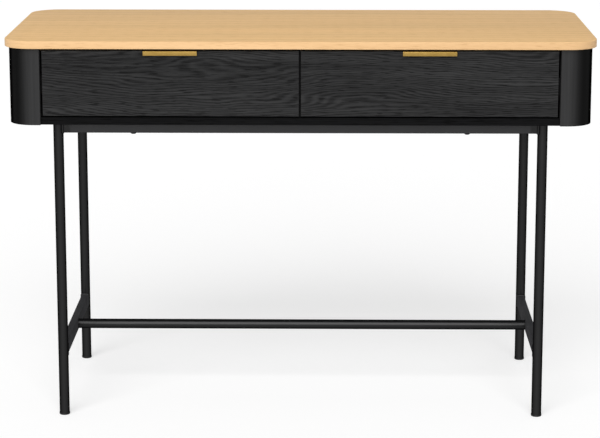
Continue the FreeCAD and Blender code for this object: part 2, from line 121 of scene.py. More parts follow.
SUN_HEIGHT = math.radians(34)
SUN_TURN = math.radians(-9)
SUN_WIDTH = math.radians(55)
SUN_STRENGTH = 3.45
soft_sun = bpy.data.lights.new("soft_sun", "SUN")
soft_sun.energy = SUN_STRENGTH
soft_sun.angle = SUN_WIDTH
sun_lamp = add_object("soft_sun", soft_sun)
sun_lamp.location = (-0.6, -4, 3.4)
sun_lamp.rotation_euler = (math.pi / 2 - SUN_HEIGHT, 0, SUN_TURN)

HORIZON_LIGHT = 1.0
ZENITH_LIGHT = 0.30
WHITE_UP_TO = 0.12
DIM_FROM = 0.30
studio = bpy.data.worlds.new("studio")
bpy.context.scene.world = studio
studio.use_nodes = True
sky = studio.node_tree
facing = sky.nodes.new("ShaderNodeTexCoord")
upward = sky.nodes.new("ShaderNodeSeparateXYZ")
fade = sky.nodes.new("ShaderNodeMapRange")
fade.inputs["From Min"].default_value = WHITE_UP_TO
fade.inputs["From Max"].default_value = DIM_FROM
fade.inputs["To Min"].default_value = HORIZON_LIGHT
fade.inputs["To Max"].default_value = ZENITH_LIGHT
sky.links.new(facing.outputs["Generated"], upward.inputs["Vector"])
sky.links.new(upward.outputs["Z"], fade.inputs["Value"])
sky.links.new(fade.outputs["Result"], sky.nodes["Background"].inputs["Strength"])
sky.nodes["Background"].inputs["Color"].default_value = (1, 1, 1, 1)
bpy.context.scene.view_settings.view_transform = "Standard"

# %% Camera
CAMERA_PLACE = (0.059, -4.449, 1.342)
LOOKS_DOWN = 11.86
TURNED_LEFT = 0.80
lens = bpy.data.cameras.new("camera")
lens.lens = 132.4
lens.sensor_width = 36
lens.shift_y = -0.04
lens.clip_end = 60
camera = add_object("camera", lens)
camera.location = CAMERA_PLACE
camera.rotation_euler = (math.radians(90 - LOOKS_DOWN), 0, math.radians(TURNED_LEFT))
bpy.context.scene.camera = camera


# %% [markdown]
# ## Building finishes from nodes
# A finish is a small graph that ends in one shader. The helpers below keep each graph
# short: `add` makes a node with its settings, and any value may be a plain number or
# another node's output.

# %% Helpers for shader graphs
def new_finish(name, roughness, metallic=0.0, specular=0.5):
    material = bpy.data.materials.new(name)
    material.use_nodes = True
    shader = material.node_tree.nodes["Principled BSDF"]
    shader.inputs["Roughness"].default_value = roughness
    shader.inputs["Metallic"].default_value = metallic
    shader.inputs["Specular IOR Level"].default_value = specular
    return material, material.node_tree, shader


def feed(tree, socket, value):
    if isinstance(value, bpy.types.NodeSocket):
        tree.links.new(value, socket)
    else:
        socket.default_value = value


def add(tree, kind, inputs=None, **settings):
    node = tree.nodes.new(kind)
    for name, value in settings.items():
        setattr(node, name, value)
    for name, value in (inputs or {}).items():
        feed(tree, node.inputs[name], value)
    return node


def maths(tree, operation, first, second=0.0, third=0.0):
    node = add(tree, "ShaderNodeMath", operation=operation)
    for index, value in enumerate((first, second, third)):
        feed(tree, node.inputs[index], value)
    return node.outputs[0]


def stretched(tree, source, scale):
    node = add(tree, "ShaderNodeMapping", {"Vector": source, "Scale": scale})
    return node.outputs["Vector"]


def noise(tree, vector, scale, detail):
    node = add(tree, "ShaderNodeTexNoise", {"Vector": vector, "Scale": scale, "Detail": detail})
    return node.outputs["Fac"]


def between(tree, value, low, high, to_low=0.0, to_high=1.0, curve="LINEAR"):
    node = add(tree, "ShaderNodeMapRange", {
        "Value": value, "From Min": low, "From Max": high, "To Min": to_low, "To Max": to_high,
    }, interpolation_type=curve)
    return node.outputs["Result"]


def blend(tree, factor, first, second, mode="MIX"):
    node = add(tree, "ShaderNodeMix", data_type="RGBA", blend_type=mode)
    feed(tree, node.inputs[0], factor)
    feed(tree, node.inputs[6], first)
    feed(tree, node.inputs[7], second)
    return node.outputs[2]


def relief(tree, shader, height, strength, distance):
    node = add(tree, "ShaderNodeBump", {
        "Height": height, "Strength": strength, "Distance": distance,
    })
    tree.links.new(node.outputs["Normal"], shader.inputs["Normal"])


def face_on_gloss(tree, shader, level, full=0.08, gone=0.6):
    """Gloss that is full face-on and gone at a glance, as on a fine matt coat."""
    layer = add(tree, "ShaderNodeLayerWeight", {"Blend": 0.5})
    gloss = between(tree, layer.outputs["Facing"], full, gone, level, 0.0)
    feed(tree, shader.inputs["Specular IOR Level"], gloss)


def place_of(tree, uv=False):
    node = add(tree, "ShaderNodeTexCoord")
    return node.outputs["UV" if uv else "Object"]


# %% [markdown]
# ## Oak
# Sliced oak shows four things at four scales: broad patches of tone, the bands where
# the knife crossed the growth rings, fine fibres, and short dark pores that crowd into
# the early wood of each ring. All are noise, stretched along the grain. The bands are
# a sine of the distance across the grain, which slow noise pushes to and fro: with a
# gentle push they run straight, as on the top, and with a strong push they close into
# arches, as on the drawer fronts. One function makes the face of the top, its rim
# (whose grain follows a UV map round the edge) and the black-stained fronts.

# %% Wood grain as one function
STREAKS_ALONG = 2.5
FIBRES_ALONG = 16
PORES_ALONG = 34
BAND_SHARE = 0.38
FIBRE_SHARE = 0.30
STREAK_SHARE = 0.32
PORE_LIMIT = 0.36
PORE_EDGE = 0.07


def wood(name, uv, tones, rings, figure, push, fine, pores, relief_depth, gloss):
    """Grain runs along X. tones: light, dark and pore colours. rings: bands per metre.
    figure: how fast the slow push changes along and across. push: its reach in metres.
    fine: fibres and pores per metre across the grain. pores: how dark and how crowded.
    relief_depth: in metres. gloss: roughness and specular level."""
    roughness, specular = gloss
    material, tree, shader = new_finish(name, roughness, specular=specular)
    grain = place_of(tree, uv)
    along, across = figure
    slow = noise(tree, stretched(tree, grain, (along, across, across)), 1.0, 2.0)
    small = noise(tree, stretched(tree, grain, (along * 5, across * 6, across * 6)), 1.0, 3.0)
    split = add(tree, "ShaderNodeSeparateXYZ", {"Vector": grain})
    reach = maths(tree, "ADD", split.outputs["Y"], split.outputs["Z"])
    reach = maths(tree, "MULTIPLY_ADD", slow, push, reach)
    reach = maths(tree, "MULTIPLY_ADD", small, push * 0.09, reach)
    wave = maths(tree, "SINE", maths(tree, "MULTIPLY", reach, rings * math.tau))
    fading = noise(tree, stretched(tree, grain, (along, across * 3, across * 3)), 1.0, 1.0)
    weight = between(tree, fading, 0.3, 0.7, 0.55, 1.0)
    band = maths(tree, "MULTIPLY", between(tree, wave, -0.8, 1.0), weight)
    fibres, dashes = fine
    fibre = noise(tree, stretched(tree, grain, (FIBRES_ALONG, fibres, fibres)), 1.0, 2.0)
    dash = noise(tree, stretched(tree, grain, (PORES_ALONG, dashes, dashes)), 1.0, 1.0)
    darkness, crowding = pores
    limit = maths(tree, "MULTIPLY_ADD", band, -crowding, PORE_LIMIT + crowding)
    inside = between(tree, maths(tree, "SUBTRACT", limit, dash), 0.0, PORE_EDGE)
    pore = maths(tree, "MULTIPLY", inside, darkness)
    streaks = fibres * 0.22
    streak = noise(tree, stretched(tree, grain, (STREAKS_ALONG, streaks, streaks)), 1.0, 2.0)
    tone = maths(tree, "MULTIPLY", band, BAND_SHARE)
    tone = maths(tree, "MULTIPLY_ADD", between(tree, fibre, 0.25, 0.75), FIBRE_SHARE, tone)
    tone = maths(tree, "MULTIPLY_ADD", between(tree, streak, 0.25, 0.75), STREAK_SHARE, tone)
    light, dark, deep = tones
    body = blend(tree, tone, dark, light)
    broad = noise(tree, stretched(tree, grain, (0.8, across * 1.7, across * 1.7)), 1.0, 1.0)
    patch = between(tree, broad, 0.3, 0.7, 0.94, 1.05)
    grey = add(tree, "ShaderNodeCombineColor", {"Red": patch, "Green": patch, "Blue": patch})
    body = blend(tree, 1.0, body, grey.outputs["Color"], "MULTIPLY")
    feed(tree, shader.inputs["Base Color"], blend(tree, pore, body, deep))
    rough = between(tree, pore, 0, 1, roughness, min(1.0, roughness + 0.2))
    feed(tree, shader.inputs["Roughness"], rough)
    height = maths(tree, "MULTIPLY_ADD", pore, -1.0, maths(tree, "MULTIPLY", tone, 0.4))
    relief(tree, shader, height, 0.6, relief_depth)
    return material


# %% The oak finishes
OAK_TONES = ((0.815, 0.540, 0.262, 1), (0.705, 0.445, 0.200, 1), (0.48, 0.28, 0.12, 1))
OAK_RIM_TONES = ((0.610, 0.400, 0.212, 1), (0.530, 0.333, 0.162, 1), (0.37, 0.215, 0.095, 1))
OAK_LOOK = dict(
    rings=34, figure=(0.6, 5.0), push=0.16, fine=(560, 900),
    pores=(0.55, 0.06), relief_depth=0.00006, gloss=(0.55, 0.15),
)
oak_face = wood("oak_face", uv=False, tones=OAK_TONES, **OAK_LOOK)
oak_edge = wood("oak_edge", uv=True, tones=OAK_RIM_TONES, **OAK_LOOK)
black_oak = wood(
    "black_oak", uv=False,
    tones=((0.033, 0.033, 0.0335, 1), (0.0010, 0.0010, 0.0012, 1), (0.0008, 0.0008, 0.0008, 1)),
    rings=190, figure=(1.9, 9.0), push=0.13, fine=(480, 620),
    pores=(0.7, 0.12), relief_depth=0.0002, gloss=(0.5, 0.08),
)
case_stain = wood(
    "case_stain", uv=False,
    tones=((0.0055, 0.0055, 0.0058, 1), (0.0015, 0.0015, 0.0017, 1), (0.0007, 0.0007, 0.0007, 1)),
    rings=230, figure=(1.2, 6.0), push=0.03, fine=(420, 700),
    pores=(0.8, 0.1), relief_depth=0.0001, gloss=(0.55, 0.04),
)
print("oak finishes:", oak_face.name, oak_edge.name, black_oak.name, case_stain.name)

# %% [markdown]
# ## Black lacquered board, steel and brass
# The bent ends and the case are smooth black boards with only a trace of grain. The
# steel has a satin powder coat, which is finely pebbled, and the slide rails have the
# same. The pulls are brass, brushed along their length. Screws and balls are zinc-plated.

# %% Smooth black board
def painted_shade_past(tree, tone, start, end, share):
    """Painted shade: scales a colour down to share between two distances from the middle, along X."""
    split = add(tree, "ShaderNodeSeparateXYZ", {"Vector": place_of(tree)})
    outward = maths(tree, "ABSOLUTE", split.outputs["X"])
    shade_factor = between(tree, outward, start, end, 1.0, share, "SMOOTHSTEP")
    grey = add(tree, "ShaderNodeCombineColor", {"Red": shade_factor, "Green": shade_factor, "Blue": shade_factor})
    return blend(tree, 1.0, tone, grey.outputs["Color"], "MULTIPLY")


SHELL_BEND = 50 * MM
BEND_SHADE_DARKEST_IN = 18 * MM
BEND_SHADE_SIDE_FADE = 60 * MM


def black_board(name, scale, lift, paint_bend_shade=False):
    """scale: streaks per metre along X, Y and Z. lift: how light the stain is.
    deepen: paints shade into the bends, dark there and lighter again along the flat side."""
    material, tree, shader = new_finish(name, 0.42)
    streak = noise(tree, stretched(tree, place_of(tree), scale), 1.0, 3.0)
    tone = blend(tree, streak, (0.020 * lift, 0.020 * lift, 0.0205 * lift, 1),
                 (0.036 * lift, 0.036 * lift, 0.0365 * lift, 1))
    # Painted shade: the board darkens round its outer bends, where soft front light falls away, and is
    # lifted back most of the way along the flat side.
    if paint_bend_shade:
        end = -case_low.x
        bent = painted_shade_past(tree, tone, end - SHELL_BEND, end - BEND_SHADE_DARKEST_IN, 0.06)
        split = add(tree, "ShaderNodeSeparateXYZ", {"Vector": place_of(tree)})
        from_middle = maths(tree, "ABSOLUTE", split.outputs["Y"])
        flat = case_high.y - SHELL_BEND
        shade_lifted_on_side = between(tree, from_middle, flat - BEND_SHADE_SIDE_FADE, flat, 0.8, 0.0, "SMOOTHSTEP")
        tone = blend(tree, shade_lifted_on_side, bent, tone)
    feed(tree, shader.inputs["Base Color"], tone)
    feed(tree, shader.inputs["Roughness"], between(tree, streak, 0.2, 0.8, 0.34, 0.46))
    face_on_gloss(tree, shader, 0.07)
    relief(tree, shader, streak, 0.25, 0.00008)
    return material


# The bent ends carry painted shade round their outer bends.
shell_black = black_board("shell_black", (260, 260, 6), 0.82, paint_bend_shade=True)
back_black = black_board("back_black", (6, 260, 260), 0.7)
case_black = black_board("case_black", (6, 260, 260), 0.35)
box_black = black_board("box_black", (10, 200, 200), 0.9)


# %% Powder-coated steel, brass, zinc and plastic
LEG_SHADE_FADE = 6 * MM
LEG_SHADE_REACH = 11 * MM


def powder_coat(name, lift=1.0, leg_shade_at=None):
    """lift: how light the coat is; on the bars and braces it is painted light. leg_shade_at: painted
    shade, the coat is darker beyond this distance from the middle, along X, next to the legs."""
    material, tree, shader = new_finish(name, 0.30)
    pebble = noise(tree, place_of(tree), 1600.0, 2.0)
    cloud = noise(tree, place_of(tree), 14.0, 2.0)
    tone = blend(tree, cloud, (0.0035 * lift, 0.0035 * lift, 0.0037 * lift, 1),
                 (0.006 * lift, 0.006 * lift, 0.0063 * lift, 1))
    # Painted shade: the coat darkens next to the legs, where the bars meet them.
    if leg_shade_at:
        tone = painted_shade_past(tree, tone, leg_shade_at - LEG_SHADE_FADE, leg_shade_at, 0.25)
    feed(tree, shader.inputs["Base Color"], tone)
    feed(tree, shader.inputs["Roughness"], between(tree, pebble, 0.2, 0.8, 0.25, 0.37))
    face_on_gloss(tree, shader, 0.26, full=0.02, gone=0.38)
    relief(tree, shader, pebble, 0.22, 0.00004)
    return material


def brushed(name, low, high, roughness):
    material, tree, shader = new_finish(name, roughness, metallic=1.0)
    hair = noise(tree, stretched(tree, place_of(tree), (40, 5200, 5200)), 1.0, 2.0)
    smear = noise(tree, place_of(tree), 60.0, 2.0)
    feed(tree, shader.inputs["Base Color"], blend(tree, smear, low, high))
    satin = between(tree, hair, 0.25, 0.75, roughness - 0.07, roughness + 0.1)
    feed(tree, shader.inputs["Roughness"], satin)
    relief(tree, shader, hair, 0.18, 0.00003)
    return material


def moulded(name, low, high):
    material, tree, shader = new_finish(name, 0.55, specular=0.15)
    grit = noise(tree, place_of(tree), 2400.0, 2.0)
    feed(tree, shader.inputs["Base Color"], blend(tree, grit, low, high))
    feed(tree, shader.inputs["Roughness"], between(tree, grit, 0.2, 0.8, 0.48, 0.62))
    relief(tree, shader, grit, 0.25, 0.00005)
    return material


# The bars and braces wear the same black coat as the legs. Their higher lift is painted light,
# standing in for the light they catch, and the bars also carry painted shade next to the legs.
steel_black = powder_coat("steel_black")
steel_bars = powder_coat("steel_bars", 3.6, leg_shade_at=LEG_X - TUBE_RADIUS - LEG_SHADE_REACH)
steel_braces = powder_coat("steel_braces", 9.0)
brass = brushed("brass", (0.20, 0.125, 0.028, 1), (0.34, 0.222, 0.066, 1), 0.34)
zinc = brushed("zinc", (0.50, 0.51, 0.52, 1), (0.66, 0.67, 0.67, 1), 0.30)
slide_black = powder_coat("slide_black")
plastic_black = moulded("plastic_black", (0.006, 0.006, 0.006, 1), (0.012, 0.012, 0.012, 1))


# %% [markdown]
# ## Making meshes
# Most pieces are one outline carried along a line: a board is a rectangle carried
# through its thickness, a pull is a folded strip carried along its length. `loft`
# joins a row of equal rings into a closed skin. A small bevel then eases the edges,
# because light catches on an eased edge and a sharp one looks false.

# %% Mesh helpers
EASED_FROM = 40


def mesh_object(name, points, faces, finishes):
    mesh = bpy.data.meshes.new(name)
    mesh.from_pydata([tuple(p) for p in points], [], faces)
    for finish in finishes:
        mesh.materials.append(finish)
    mesh.update()
    return add_object(name, mesh)


def soften(item, degrees=30):
    item.data.shade_smooth()
    item.data.set_sharp_from_angle(angle=math.radians(degrees))
    return item


def face_outwards(item):
    work = bmesh.new()
    work.from_mesh(item.data)
    bmesh.ops.remove_doubles(work, verts=work.verts, dist=1e-7)
    bmesh.ops.recalc_face_normals(work, faces=work.faces)
    work.to_mesh(item.data)
    work.free()
    return item


def loft(name, rings, finishes):
    """A closed skin through equal rings, with a flat cap at each end."""
    count = len(rings[0])
    points = [p for ring in rings for p in ring]
    faces = [tuple(range(count))]
    for level in range(len(rings) - 1):
        base = level * count
        for i in range(count):
            j = (i + 1) % count
            faces.append((base + i, base + j, base + count + j, base + count + i))
    faces.append(tuple(range((len(rings) - 1) * count, len(rings) * count)))
    return face_outwards(mesh_object(name, points, faces, finishes))


def eased(item, width, segments=2):
    bevel = item.modifiers.new("eased_edges", "BEVEL")
    bevel.width = width
    bevel.segments = segments
    bevel.limit_method = "ANGLE"
    bevel.angle_limit = math.radians(EASED_FROM)
    bevel.harden_normals = True
    return soften(item)


def arc(centre, radius, start, end, steps):
    """Points on an arc in a plane; the angles are in degrees."""
    return [
        (centre[0] + radius * math.cos(math.radians(start + (end - start) * i / steps)),
         centre[1] + radius * math.sin(math.radians(start + (end - start) * i / steps)))
        for i in range(steps + 1)
    ]


def rounded_rectangle(half_x, half_y, radius, steps):
    x = half_x - radius
    y = half_y - radius
    return [
        *arc((x, y), radius, 0, 90, steps),
        *arc((-x, y), radius, 90, 180, steps),
        *arc((-x, -y), radius, 180, 270, steps),
        *arc((x, -y), radius, 270, 360, steps),
    ]


def settle(piece, body, slot, *nodes):
    """The piece rides on its body and stands for its nodes. The slot is not used."""
    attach(piece, body)
    if nodes:
        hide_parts(*nodes)


# %% [markdown]
# ## The oak top
# The board is 15 mm thick with large round corners and a slight round-over where the
# face meets the edge. It is built as a stack of outlines from the underside up: each
# step of the round-over is the same outline, drawn in a little. The rim gets its own
# UV map, measured round the edge, so that the grain of the edge band follows it.

# %% Tabletop
TOP_CORNER = 58 * MM
TOP_ROUND = 1.2 * MM
TOP_STEPS = 24


def round_over(low, high, radius, steps=4):
    """(inset, height) pairs up a board's edge, rounded at both ends."""
    lower = [(radius - x, low + radius - z) for x, z in arc((0, 0), radius, 90, 0, steps)]
    upper = [(radius - x, high - radius + z) for x, z in arc((0, 0), radius, 0, 90, steps)]
    return lower + upper


def map_rim(item, count):
    """UV in metres: U round the rim, V up the edge. Each outline has count points."""
    spots = [v.co for v in item.data.vertices]
    walk = [0.0]
    for i in range(count):
        walk.append(walk[-1] + (spots[(i + 1) % count] - spots[i]).length)
    low = min(spot.z for spot in spots)
    layer = item.data.uv_layers.new(name="rim")
    for polygon in item.data.polygons:
        steps = [i % count for i in polygon.vertices]
        closing = 0 in steps and count - 1 in steps
        for loop, step, vertex in zip(polygon.loop_indices, steps, polygon.vertices):
            turn = walk[count] if closing and step == 0 else walk[step]
            layer.data[loop].uv = (turn, spots[vertex].z - low)


def build_top():
    rings = []
    for inset, height in round_over(top_low.z, top_high.z, TOP_ROUND):
        outline = rounded_rectangle(
            top_high.x - inset, top_high.y - inset, TOP_CORNER - inset, TOP_STEPS)
        rings.append([(x, y, height) for x, y in outline])
    top = loft("oak_top", rings, [oak_face, oak_edge])
    map_rim(top, len(outline))
    for polygon in top.data.polygons:
        polygon.material_index = 0 if abs(polygon.normal.z) > 0.8 else 1
    settle(soften(top, 50), "desk", "oak_veneer", "tabletop")
    return top


oak_top = build_top()
print("oak top:", len(oak_top.data.polygons), "faces")


# %% [markdown]
# ## The case
# Each end is one board, bent round two corners: seen from above it is a thick U. The
# floor of the case sits inside the two bent ends and the back closes it. The ends
# have an upright grain, so that it bends with the board.

# %% Bent ends, case floor and back
SHELL_BOARD = 7 * MM
TOP_OVERHANG = 8 * MM
CASE_CORNER = TOP_CORNER - TOP_OVERHANG
BEND_STEPS = 20


def bent_end(side, sign):
    node = f"{side}_end_shell"
    low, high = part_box(node)
    edge = min(abs(low.x), abs(high.x))
    far = max(abs(low.x), abs(high.x))
    deep = high.y
    x = far - CASE_CORNER
    y = deep - CASE_CORNER
    inner = CASE_CORNER - SHELL_BOARD
    outline = [(edge, -deep)]
    outline += arc((x, -y), CASE_CORNER, -90, 0, BEND_STEPS)
    outline += arc((x, y), CASE_CORNER, 0, 90, BEND_STEPS)
    outline += [(edge, deep), (edge, deep - SHELL_BOARD)]
    outline += arc((x, y), inner, 90, 0, BEND_STEPS)
    outline += arc((x, -y), inner, 0, -90, BEND_STEPS)
    outline += [(edge, SHELL_BOARD - deep)]
    rings = [[(sign * px, py, z) for px, py in outline] for z in (low.z, high.z)]
    shell = loft(f"{side}_bent_end", rings, [shell_black])
    settle(eased(shell, 0.5 * MM), "desk", "black_board", node)


for side, sign in SIDES.items():
    bent_end(side, sign)

floor_corner = CASE_CORNER - SHELL_BOARD
case_floor = loft("case_bottom", [
    [(x, y, z) for x, y in rounded_rectangle(floor_high.x, floor_high.y, floor_corner, 16)]
    for z in (floor_low.z, floor_high.z)
], [case_stain])
settle(eased(case_floor, 0.4 * MM), "desk", "black_board", "case_floor")


# %% Boards that are plain blocks
BOARD_EASE = 0.4 * MM


def block(name, node, finish, body, slot):
    low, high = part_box(node)
    rings = [
        [(low.x, low.y, z), (high.x, low.y, z), (high.x, high.y, z), (low.x, high.y, z)]
        for z in (low.z, high.z)
    ]
    item = loft(name, rings, [finish])
    settle(eased(item, BOARD_EASE), body, slot, node)


block("case_back", "back_panel", back_black, "desk", "black_board")

# %% [markdown]
# ## Drawer fronts
# The fronts are the desk's face: black-stained oak with open pores, so the grain is
# felt as well as seen. The top edge is notched where the brass pull is let in. The
# outline in the XZ plane carries the notch, and it is carried back through the
# thickness of the board.

# %% Drawer fronts
PULL_PLATE = 1.5 * MM
PULL_PLAY = 0.1 * MM


def drawer_front(side):
    node = f"{side}_drawer_front"
    low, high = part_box(node)
    pull_low, pull_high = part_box(f"{side}_pull")
    left = pull_low.x - PULL_PLAY
    right = pull_high.x + PULL_PLAY
    notch = high.z - PULL_PLATE
    outline = [
        (low.x, low.z), (high.x, low.z), (high.x, high.z), (right, high.z),
        (right, notch), (left, notch), (left, high.z), (low.x, high.z),
    ]
    rings = [[(x, y, z) for x, z in outline] for y in (low.y, high.y)]
    front = loft(f"{side}_front", rings, [black_oak])
    settle(eased(front, 0.7 * MM, 3), f"{side}_drawer", "black_oak", node)


for side in SIDES:
    drawer_front(side)

# %% [markdown]
# ## Drawer boxes
# Sides, back and bottom of each box are plain boards. They show only when a drawer
# is open, so they are quick blocks with eased edges.

# %% Drawer boxes
for side in SIDES:
    for part in ("left_side", "right_side", "back", "bottom"):
        block(f"{side}_box_{part}", f"{side}_drawer_{part}", box_black,
              f"{side}_drawer", "drawer_board")


# %% [markdown]
# ## Brass pulls
# A pull is one strip of brass, folded twice: down in front as a lip, over the edge of
# the drawer, and down behind as a flange. Its section is drawn once, with a bend
# radius at each fold, and carried along the pull.

# %% Pulls
PULL_LIP = 2 * MM
LIP_TALL = 8.5 * MM
OUTER_BEND = 0.9 * MM
INNER_BEND = 0.4 * MM


def pull(side):
    node = f"{side}_pull"
    low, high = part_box(node)
    lip_low = high.z - LIP_TALL
    lip = low.y + PULL_LIP
    flange = high.y - PULL_PLATE
    under = high.z - PULL_PLATE
    bend = OUTER_BEND
    tight = INNER_BEND
    section = [(low.y, lip_low)]
    section += arc((low.y + bend, high.z - bend), bend, 180, 90, 6)
    section += arc((high.y - bend, high.z - bend), bend, 90, 0, 6)
    section += [(high.y, low.z), (flange, low.z)]
    section += arc((flange - tight, under - tight), tight, 0, 90, 3)
    section += arc((lip + tight, under - tight), tight, 90, 180, 3)
    section += [(lip, lip_low)]
    rings = [[(x, y, z) for y, z in section] for x in (low.x, high.x)]
    strip = loft(f"{side}_brass_pull", rings, [brass])
    settle(eased(strip, 0.25 * MM), f"{side}_drawer", "brass", node)


for side in SIDES:
    pull(side)


# %% [markdown]
# ## Geometry Nodes for what repeats
# Tubes, welds, bolts and bearing balls all repeat, so each is one node tree that
# works from a few points or lines. A helper makes a tree with named inputs, another
# runs it once and keeps the plain mesh that comes out.

# %% Helpers for geometry trees
def new_tree(name, inputs):
    tree = bpy.data.node_groups.new(name, "GeometryNodeTree")
    tree.interface.new_socket("Geometry", in_out="INPUT", socket_type="NodeSocketGeometry")
    for label, kind, value in inputs:
        socket = tree.interface.new_socket(label, in_out="INPUT", socket_type=kind)
        if value is not None:
            socket.default_value = value
    tree.interface.new_socket("Geometry", in_out="OUTPUT", socket_type="NodeSocketGeometry")
    return tree, tree.nodes.new("NodeGroupInput").outputs, tree.nodes.new("NodeGroupOutput").inputs


def grown(name, tree, points, edges, values, attributes=None):
    """Runs a tree on points and lines and returns the result as a plain mesh object."""
    seed = bpy.data.meshes.new(f"{name}_seed")
    seed.from_pydata(points, edges, [])
    for label, numbers in (attributes or {}).items():
        layer = seed.attributes.new(label, "FLOAT", "POINT")
        layer.data.foreach_set("value", numbers)
    carrier = add_object(f"{name}_carrier", seed)
    modifier = carrier.modifiers.new("grow", "NODES")
    modifier.node_group = tree
    for item in tree.interface.items_tree:
        if item.in_out == "INPUT" and item.name in values:
            modifier[item.identifier] = values[item.name]
    graph = bpy.context.evaluated_depsgraph_get()
    mesh = bpy.data.meshes.new_from_object(carrier.evaluated_get(graph))
    mesh.name = name
    bpy.data.objects.remove(carrier)
    item = add_object(name, mesh)
    print(f"{name}: {len(mesh.polygons)} faces")
    return item


def finish_tree(tree, outputs, geometry, finish):
    realised = add(tree, "GeometryNodeRealizeInstances", {"Geometry": geometry})
    painted = add(tree, "GeometryNodeSetMaterial", {
        "Geometry": realised.outputs["Geometry"], "Material": finish,
    })
    tree.links.new(painted.outputs["Geometry"], outputs["Geometry"])


# %% [markdown]
# ## Round tubes
# Each tube is a straight line with a round section. The four legs and the stretcher
# are the edges of a tiny mesh: the tree turns every edge into a curve and sweeps a
# circle along it.

# %% Legs and stretcher
tube_tree, tube_in, tube_out = new_tree("round_tubes", [
    ("Radius", "NodeSocketFloat", TUBE_RADIUS),
    ("Sides", "NodeSocketInt", 48),
    ("Finish", "NodeSocketMaterial", None),
])
lines = add(tube_tree, "GeometryNodeMeshToCurve", {"Mesh": tube_in["Geometry"]})
ring = add(tube_tree, "GeometryNodeCurvePrimitiveCircle", {
    "Radius": tube_in["Radius"], "Resolution": tube_in["Sides"],
})
swept = add(tube_tree, "GeometryNodeCurveToMesh", {
    "Curve": lines.outputs["Curve"], "Profile Curve": ring.outputs["Curve"], "Fill Caps": True,
})
finish_tree(tube_tree, tube_out, swept.outputs["Mesh"], tube_in["Finish"])


def lines_mesh(pairs):
    points = [p for pair in pairs for p in pair]
    return points, [(2 * i, 2 * i + 1) for i in range(len(pairs))]


ENDS = ("front", "rear")
corners = [(x * LEG_X, y * LEG_Y) for x in (-1, 1) for y in (-1, 1)]
stretcher_low, stretcher_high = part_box("stretcher")
rod_z = (stretcher_low.z + stretcher_high.z) / 2
points, edges = lines_mesh([((x, y, leg_low.z), (x, y, leg_high.z)) for x, y in corners])
legs = grown("steel_legs", tube_tree, points, edges, {"Finish": steel_black})
settle(soften(face_outwards(legs)), "desk", "black_steel",
       *(f"{end}_{side}_leg" for end in ENDS for side in SIDES))
points, edges = lines_mesh([((stretcher_low.x, 0, rod_z), (stretcher_high.x, 0, rod_z))])
stretcher = grown("steel_stretcher", tube_tree, points, edges, {"Finish": steel_black})
settle(soften(face_outwards(stretcher)), "desk", "black_steel", "stretcher")

# %% [markdown]
# ## Square bars and braces
# Rolled steel bar has rounded corners. Each bar is a rounded rectangle carried from
# one leg's middle to the other's, so its ends are hidden in the tubes.

# %% Bars
BAR_CORNER = 1.6 * MM


def bar(name, node, along):
    low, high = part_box(node)
    middle = (low + high) / 2
    half = (high - low) / 2
    wide = half.y if along == "x" else half.x
    outline = rounded_rectangle(wide, half.z, BAR_CORNER, 4)
    reach = LEG_X if along == "x" else LEG_Y
    rings = []
    for end in (-reach, reach):
        if along == "x":
            rings.append([(end, middle.y + a, middle.z + b) for a, b in outline])
        else:
            rings.append([(middle.x + a, end, middle.z + b) for a, b in outline])
    # Bars and braces use the copies of the leg coat with painted light.
    item = loft(name, rings, [steel_bars if along == "x" else steel_braces])
    settle(soften(item, 50), "desk", "black_steel", node)


for end in ENDS:
    bar(f"{end}_steel_bar", f"{end}_top_bar", "x")
for side in SIDES:
    bar(f"{side}_steel_bar", f"{side}_top_bar", "y")
    bar(f"{side}_steel_brace", f"{side}_brace", "y")

# %% [markdown]
# ## Welds
# Where a bar meets a leg, a small bead of weld runs round it. The tree draws the
# bar's outline, sweeps a thin circle round it, roughens it a little and sets one bead
# at each point it is given. A number on each point turns its bead to face along X or
# along Y.

# %% Weld beads
weld_tree, weld_in, weld_out = new_tree("weld_beads", [
    ("Bar Height", "NodeSocketFloat", 0.02),
    ("Bar Width", "NodeSocketFloat", 0.015),
    ("Bead", "NodeSocketFloat", 0.0024),
    ("Ripple", "NodeSocketFloat", 0.0004),
    ("Finish", "NodeSocketMaterial", None),
])
loop = add(weld_tree, "GeometryNodeCurvePrimitiveQuadrilateral", {
    "Width": weld_in["Bar Height"], "Height": weld_in["Bar Width"],
})
bent = add(weld_tree, "GeometryNodeFilletCurve", {
    "Curve": loop.outputs["Curve"], "Radius": BAR_CORNER, "Count": 4,
}, mode="POLY")
even = add(weld_tree, "GeometryNodeResampleCurve", {"Curve": bent.outputs["Curve"], "Count": 72})
dot = add(weld_tree, "GeometryNodeCurvePrimitiveCircle", {"Radius": weld_in["Bead"], "Resolution": 10})
bead = add(weld_tree, "GeometryNodeCurveToMesh", {
    "Curve": even.outputs["Curve"], "Profile Curve": dot.outputs["Curve"],
})
wrinkle = add(weld_tree, "ShaderNodeTexNoise", {"Scale": 420.0, "Detail": 1.0})
amount = add(weld_tree, "ShaderNodeMath", {
    0: wrinkle.outputs["Fac"], 1: weld_in["Ripple"],
}, operation="MULTIPLY")
outward = add(weld_tree, "GeometryNodeInputNormal")
push = add(weld_tree, "ShaderNodeVectorMath", {0: outward.outputs["Normal"]}, operation="SCALE")
weld_tree.links.new(amount.outputs[0], push.inputs["Scale"])
rippled = add(weld_tree, "GeometryNodeSetPosition", {
    "Geometry": bead.outputs["Mesh"], "Offset": push.outputs["Vector"],
})
upright = add(weld_tree, "GeometryNodeTransform", {
    "Geometry": rippled.outputs["Geometry"], "Rotation": (0, math.pi / 2, 0),
})
turn = add(weld_tree, "GeometryNodeInputNamedAttribute", {"Name": "turn"}, data_type="FLOAT")
spin = add(weld_tree, "ShaderNodeCombineXYZ", {"Z": turn.outputs["Attribute"]})
